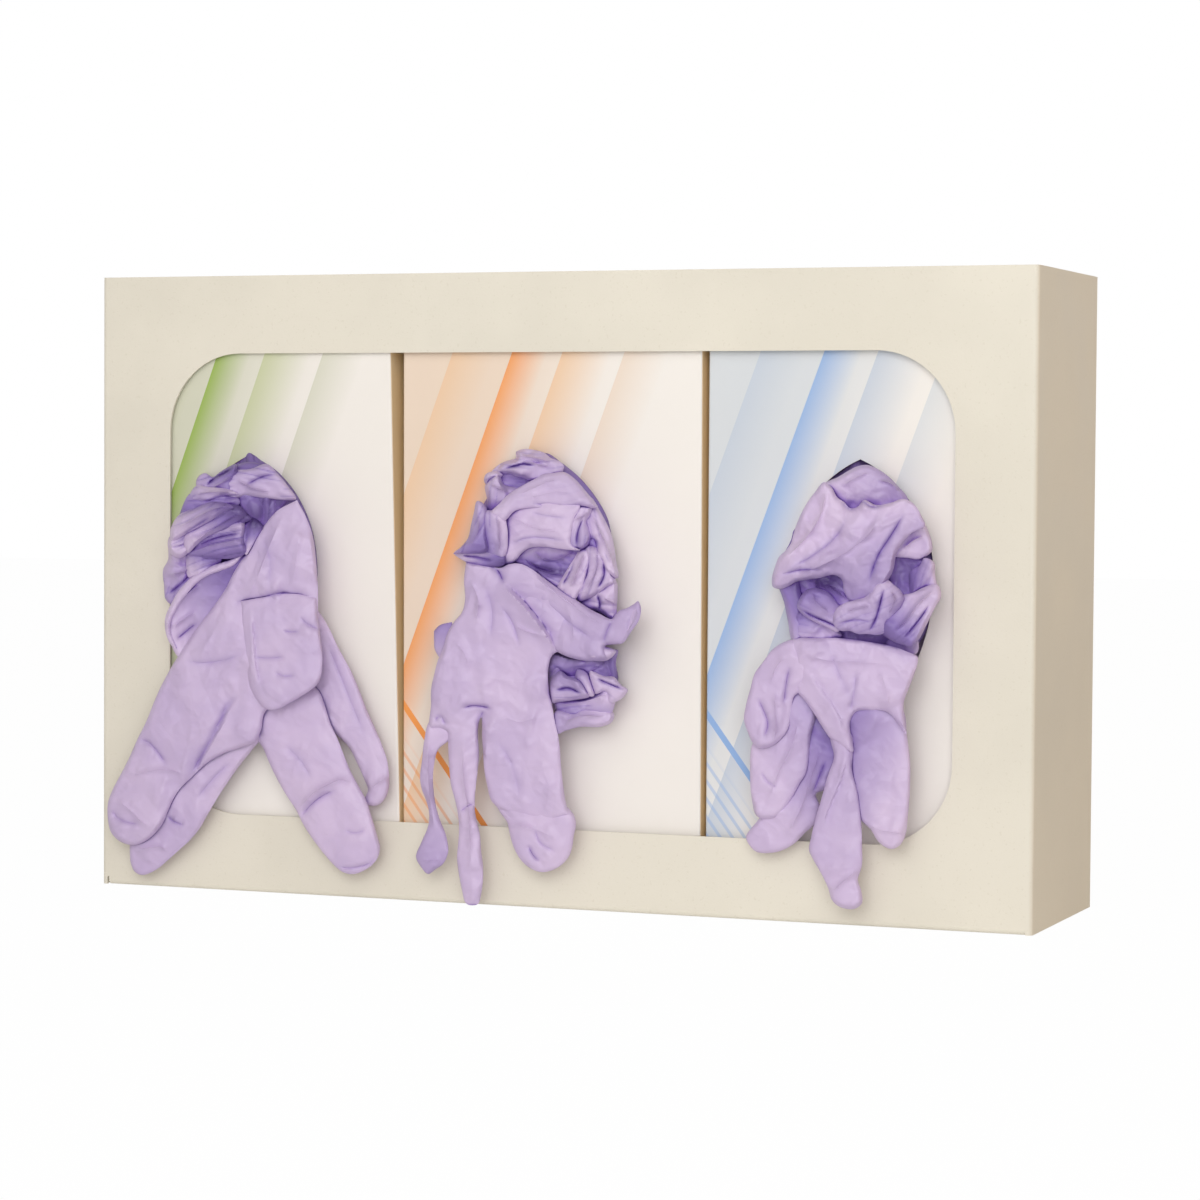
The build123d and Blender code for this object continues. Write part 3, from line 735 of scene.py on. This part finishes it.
MIDDLE_HANGING = [
    # strand at the left
    lobe("429,722 437,722 445,727 446,735 438,750 434,765 433,780 434,793 436,806 440,820 445,832 "
         "448,845 448,853 443,864 436,869 428,874 421,867 416,857 421,843 426,832 429,822 429,812 "
         "426,800 422,790 420,778 422,760 424,742", 12, ("430,735 428,765 430,800 436,835", 1.2, 0.9),
         ("420,858 430,861 440,859", 1.1, 0.7), inner=(0.15, 0, 0.3), puff=0.7, edge=3.5, grain=0.4,
         slope=(0, -0.03)),
    # fingertip below the fold
    lobe("495,800 500,812 507,822 510,835 514,848 521,860 530,868 540,872 550,871 560,866 568,858 "
         "572,848 574,835 576,824 572,812 540,798", 10.5, ("528,845 533,855 540,862", -1.5, 0.9),
         ("508,824 530,828 556,838", 1.1, 1), ("534,826 540,842 556,852", -1, 0.9), puff=0.9, edge=5,
         grain=0.5),
    # small turned flap at the left edge
    lobe("434,631! 440,625 452,622! 449,633 444,642 439,656 435,650 434,640", 12, inner=(0.5, 0, -0.4),
         puff=0.4, edge=3, grain=0.3),
    # palm, flared cuff and two fingers, one sheet
    lobe("466,562! 475,563 490,565 499,568 510,564 521,564 530,568 540,575 552,584 562,591 572,597 "
         "581,603 590,609 600,614 612,619 619,611 627,608 634,604 638,601 641,608 639,620 631,632 "
         "623,643 614,644 605,646 616,651 608,660 592,661 575,659 558,652 552,656 549,665 548,675 "
         "549,690 552,705 555,722 558,735 560,750 561,765 563,783 566,803 570,816! 555,819 540,818 "
         "525,815 510,812 498,808! 491,800 487,785 484,768 483,750 482,735 482,722 481,717 479,722 "
         "478,735 479,752 478,768 476,785 475,798 475,812 478,825 480,835 481,850 483,865 483,880 "
         "481,895 478,904 469,905 465,902 462,890 459,875 457,858 458,845 459,830 458,815 455,800 "
         "451,785 449,765 448,745 447,732 438,728 430,728 431,705 431,690 434,675 438,660 443,648 "
         "447,634 454,622 462,612 465,600 464,580", 14,
         ("502,582 512,592 525,605 537,620 548,635 557,650", 5.0, 3.5, "step"),
         ("490,564 499,572 504,584", -2.2, 1), ("613,617 607,630 602,644", -2, 1),
         ("637,607 632,622 625,636", 1.2, 1), ("530,570 556,592 585,612 612,628", 1.8, 1.4),
         ("548,600 572,622 596,640", -1.5, 1.6), ("462,709 470,706 480,706 493,709", -1.8, 0.8),
         ("484,710 481,716 478,726", -1.8, 1), ("450,640 462,650 470,670", 1, 1.2),
         ("470,580 478,600 476,625", 1.5, 1.3), ("486,586 492,612 490,640", -1.1, 1.6),
         ("512,625 528,632 548,636", 1.2, 0.9), ("500,605 512,622 520,648", -1.1, 1),
         ("463,742 464,780 469,820 471,870", 1.5, 1), ("460,812 468,806 476,803", -1, 0.7),
         ("497,740 512,765 520,800", -0.9, 1.6), ("500,715 520,722 540,716", 0.9, 1.2),
         ("434,722 440,716 446,726", -1.5, 0.9), inner=(0.05, 0, -0.1), root=-1.5, hang=650, puff=1.2,
         edge=7, grain=0.6, slope=(0.0, -0.045)),
    # cuff, turned over the palm
    lobe("506,570 512,564 521,564 530,568 540,575 552,584 562,591 572,597 581,603 590,609 600,614 "
         "612,619 619,611 627,608 634,604 638,601 641,608 639,620 631,632 623,643 614,644 605,646 "
         "608,658 592,661 575,659 558,652 548,640 537,622 524,604 512,587", 16.8,
         ("530,572 556,594 585,614 612,630", 1.6, 1.6), ("524,584 548,606 574,626 596,642", -1.2, 1.4),
         ("613,619 607,631 603,644", -1.4, 1.2), ("566,606 572,622 574,642", 0.9, 1.2),
         inner=(0.22, 0.1, 0.1), slope=(0.03, -0.03), puff=0.9, edge=6, grain=0.5),
]
glove("gathered_middle", MIDDLE_BUNCH, "next_glove_middle",
      root=-1.5, tilt=0.14, shut=0.5, crisp=0.62, pleat=0.45, spacing=1.4)
glove("hanging_middle", MIDDLE_HANGING, "hanging_glove_middle")

# ---------------------------------------------------------------- right glove
RIGHT_BUNCH = [
    # neck that comes out of the opening, behind the folds, painted dark violet with shade
    lobe("826,478 843,466 860,455 876,464 896,479 911,497 923,516 931,536 936,560 936,585 933,610 "
         "924,636 904,656 870,666 840,664 812,650 794,630 785,605 783,575 786,545 794,520 808,497", -7.0,
         inner=(1.25, 0, 0.1), puff=10.2, edge=13, grain=0.9, root=None),
    lobe("830,485 838,477 848,471 858,466 868,465 878,469 888,476 897,485 908,499 904,508 884,513 "
         "862,513 847,509 836,497", 9, ("878,480 890,483 899,490", 1.8, 1),
         ("842,486 856,478 870,472", 1.3, 1.2), inner=(0.35, 0.3, 0), puff=0.8, edge=4, grain=0.9, pleat=0.1),
    lobe("889,569 880,548 896,556 912,557 922,562 910,569 908,580 912,593 905,601 897,590", 7,
         inner=(1.1, 0.2, -0.2), puff=0.3, edge=3, grain=0.9),
    lobe("897,553 902,541 910,533 918,527 925,525 929,533 932,543 932,551 920,559 908,558", 12,
         ("904,548 914,540 924,536", 1.6, 0.9), puff=0.7, edge=3, grain=0.9),
    lobe("911,570 920,565 924,558 934,562 935,573 932,586 922,585 915,591 909,577", 12, inner=(0.6, -0.7, 0),
         puff=0.7, edge=3, grain=1),
    # facets at the left, under the big fold
    lobe("784,584 796,580 800,590 798,606 797,625 797,637 793,642 788,622 784,602", 10,
         inner=(0.9, 0.5, -0.7), puff=0.5, edge=3, grain=0.5),
    lobe("797,613 812,618 828,628 842,636 830,642 815,643 797,640", 12, inner=(0.55, -0.2, -0.7), puff=0.5,
         edge=3, grain=0.7),
    lobe("815,580 825,577 836,574 843,580 846,592 858,599 862,604 848,606 838,604 828,592", 12,
         ("824,584 836,590 850,600", 1.8, 0.8), inner=(1.3, -1, -1.1), puff=0.7, edge=3, grain=0.9),
    lobe("797,606 804,592 812,588 821,589 829,593 839,605 844,612 838,620 838,632 826,627 811,620 "
         "800,612", 16, ("800,609 813,616 827,622 840,628", -1.8, 0.9), ("812,592 816,602 828,612", 1.2, 1),
         inner=(0.6, -0.1, -0.5), puff=0.8, edge=4, grain=0.7),
    lobe("886,641 900,642 910,638 918,640 917,653 905,655 890,650", 8, inner=(0.8, -0.6, 0), puff=0.3,
         edge=3, grain=0.5),
    # rolled cuff
    lobe("904,600 912,593 922,588 930,585 937,584 941,591 941,598 936,606 931,616 926,626 918,641 "
         "912,647 904,645 894,642 887,638 884,630 889,622 896,612", 17,
         ("893,632 906,620 920,602 934,590", 2.3, 1.1), ("902,640 916,624 930,604", -1.7, 0.9),
         inner=(0.45, -0.75, 0.65), puff=1.2, edge=4.5, grain=0.9),
    lobe("871,592 874,586 880,581 888,580 894,585 901,591 904,598 901,607 894,615 888,623 884,633 "
         "877,635 868,634 858,634 850,631 842,631 836,628 833,620 836,609 845,603 855,600 865,597", 20,
         ("884,588 880,604 876,618 869,632", -1.8, 1), ("846,612 858,608 870,606", 1.8, 1),
         ("836,624 855,620 872,622", -0.9, 0.9), ("890,590 894,600 888,614", 1.6, 0.9),
         inner=(0.4, 0.1, 0.25), puff=1.3, edge=5, grain=1),
    # big puffed sheet
    lobe("824,482 815,492 807,503 801,514 796,526 793,536 791,543 786,550 779,557 775,567 772,578 "
         "773,587 781,589 789,586 796,582 806,580 820,578 834,575 842,580 844,592 852,596 862,598 "
         "871,593 881,581 893,571 896,556 901,545 912,533 925,526 921,515 913,503 903,499 890,503 "
         "876,505 864,500 857,507 850,508 844,502 837,497 832,488", 16,
         ("838,500 852,509 862,502 872,507 886,505", -2.1, 1.2),
         ("826,490 822,512 806,538 784,560", 2.1, 1.8),
         ("880,512 872,530 850,550 820,566 792,578", 2.1, 1.9),
         ("905,512 892,534 878,556 868,584", -1.7, 1.6), ("848,512 838,534 812,556 786,570", -1.1, 1.8),
         ("780,575 800,570 824,570", -1.3, 1.1), inner=(0.15, 0.3, 0.5), puff=2, edge=9, grain=1.0,
         slope=(0.0, 0.01), pleat=0.0),
]
RIGHT_HANGING = [
    # finger behind, painted darker with shade
    lobe("758,820 746,837 750,846 757,852 770,853 783,850 795,843 805,833 811,820 814,805 816,794 "
         "824,785 829,775 834,761 838,744 826,728 812,708 798,720 790,770 776,805", 8,
         ("822,745 812,775 800,810 785,838", 1.5, 1.2), ("826,760 818,780 812,796", -1.5, 0.9),
         inner=(0.45, 0.45, -0.6), puff=0.7, edge=4, grain=0.5),
    # lower left finger
    lobe("752,745 750,775 752,800 756,815 763,819 775,818 783,811 792,798 800,783 806,773 809,755 "
         "811,735 810,715 806,700 796,692 786,705 776,728 762,740", 11,
         ("800,715 792,745 778,775 768,805", 1.5, 1.3), ("760,770 768,782 778,788", -1.1, 0.9),
         inner=(0.15, 0.3, -0.2), puff=0.9, edge=5, grain=0.5),
    # right finger
    lobe("849,712 853,740 856,765 858,785 861,800 864,815 871,830 877,840 885,847 893,849 901,844 "
         "906,833 908,815 910,790 910,760 907,735 904,712 890,700 860,700", 11,
         ("868,824 880,830 892,832 906,834", 1.1, 0.9), inner=(0.3, -0.4, -0.4), puff=1, edge=6, grain=0.5,
         slope=(0, 0.01)),
    # middle finger, folded
    lobe("851,733 853,750 852,770 857,790 861,820 862,845 862,865 858,880 861,890 862,903 854,909 "
         "840,907 832,900 828,888 822,875 814,861 809,850 811,838 815,820 821,800 825,785 829,772 "
         "834,757 836,738", 13, ("848,752 840,780 828,808 821,832", 2, 1.1, "step"),
         ("832,893 843,882 857,870", 1.5, 0.9), inner=(0.15, 0, -0.1), puff=0.8, edge=5, grain=0.5),
    # thumb puffed out at the left
    lobe("795,640 782,643 772,650 763,662 755,673 750,690 746,705 744,720 748,733 752,742 758,748 "
         "766,748 774,745 782,738 788,729 791,715 794,697 800,686 800,660", 14.5,
         ("776,690 775,708 776,726 773,742", 1.8, 1.2), ("757,697 764,711 768,725 763,740", -1.5, 1),
         ("786,655 776,668 770,684", 1.2, 1.2), ("790,665 786,685 784,706", -1.5, 1), inner=(0.1, 0, 0),
         puff=1.3, edge=6, grain=0.5),
    # palm
    lobe("792,640 815,638 840,638 870,642 895,647 908,652 917,656 918,661 914,675 909,688 904,702 "
         "904,715 906,734 897,722 887,712 870,710 856,712 850,722 851,736 853,752 844,749 837,743 "
         "830,738 821,725 813,712 806,702 797,691 792,668", 15,
         ("800,652 825,660 855,662 890,664", 1.2, 1.6),
         ("806,668 820,690 836,712 846,740", 1.8, 1.4, "step"), ("856,670 854,692 850,714", -1.1, 1.4),
         ("880,668 886,690 890,712", 1, 1.4), ("830,648 838,672 852,700", -0.9, 1.6), inner=(0.1, 0, 0),
         root=-2.0, hang=690, puff=1.2, edge=6, grain=0.6),
]
glove("gathered_right", RIGHT_BUNCH, "next_glove_right",
      root=-2.0, tilt=0.14, shut=0.4, crisp=0.62, pleat=0.25, spacing=1.4)
glove("hanging_right", RIGHT_HANGING, "hanging_glove_right")


# ---------------------------------------------------------------- stage and light
FLOOR_SIZE, FLOOR_DROP = 8.0, 0.0005  # metres
FLOOR_SEEN, FLOOR_GLOW = 0.985, 0.27  # share of its own light that the camera sees, and that all else gets
ROOM_TINT, ROOM_LIGHT = (1.0, 0.90, 0.76, 1), 0.29
WHITE = (1, 1, 1, 1)
COOL, AMBER = (0.97, 0.98, 1.0), (1.0, 0.5, 0.08)


def floor_white():
    """Pale and matt, and so bright to the camera that it shows no horizon."""
    s = Shader("floor")
    s.set(Base_Color=(0.9, 0.9, 0.9, 1), Roughness=0.8)
    seen = s.node("ShaderNodeLightPath").outputs["Is Camera Ray"]
    share = s.math("MAXIMUM", s.math("MULTIPLY", seen, FLOOR_SEEN), FLOOR_GLOW)
    glow = s.node("ShaderNodeEmission", {"Color": WHITE, "Strength": 1.0}).outputs[0]
    blend = s.node("ShaderNodeMixShader", {0: share, 1: s.principled.outputs[0], 2: glow})
    s.feed(s.output, "Surface", blend.outputs[0])
    return s.material


def studio_floor():
    half = FLOOR_SIZE / 2
    mesh = bpy.data.meshes.new("floor")
    corners = [(-half, -half, 0), (half, -half, 0), (half, half, 0), (-half, half, 0)]
    mesh.from_pydata(corners, [], [(0, 1, 2, 3)])
    floor = bpy.data.objects.new("floor", mesh)
    floor.location.z = -FLOOR_DROP
    bpy.context.scene.collection.objects.link(floor)
    dress(floor, floor_white())


def studio_room():
    """White to the camera, to mirrors and through clear things; a warm, dimmer room to all else."""
    world = bpy.data.worlds.new("world")
    bpy.context.scene.world = world
    world.use_nodes = True
    sky = Nodes(world.node_tree)
    sky.tree.nodes.clear()
    rays = sky.node("ShaderNodeLightPath").outputs
    direct = sky.math("MAXIMUM", rays["Is Camera Ray"], rays["Is Glossy Ray"])
    direct = sky.math("MAXIMUM", direct, rays["Is Transmission Ray"])
    room = sky.node("ShaderNodeBackground", {0: ROOM_TINT, 1: ROOM_LIGHT}).outputs[0]
    white = sky.node("ShaderNodeBackground", {0: WHITE, 1: 1.0}).outputs[0]
    pick = sky.node("ShaderNodeMixShader", {0: direct, 1: room, 2: white}).outputs[0]
    sky.node("ShaderNodeOutputWorld", {0: pick})


def lamp(name, place, aim, size, watts, tint):
    """Square area light, in metres."""
    data = bpy.data.lights.new(name, "AREA")
    data.size, data.energy, data.color = size, watts, tint
    made = bpy.data.objects.new(name, data)
    made.location = place
    made.rotation_euler = (Vector(aim) - Vector(place)).to_track_quat("-Z", "Y").to_euler()
    bpy.context.scene.collection.objects.link(made)


studio_floor()
studio_room()
lamp("key", (-0.13, -1.8, 1.15), (0, 0, 0.12), 1.7, 9.5, COOL)
lamp("front", (0.5, -1.45, 0.42), (0.16, 0, 0.1), 1.1, 11.5, COOL)
lamp("side", (1.2, 0.35, 0.3), (0.2, 0, 0.08), 0.6, 1.3, AMBER)

bpy.context.scene.view_settings.view_transform = "Standard"
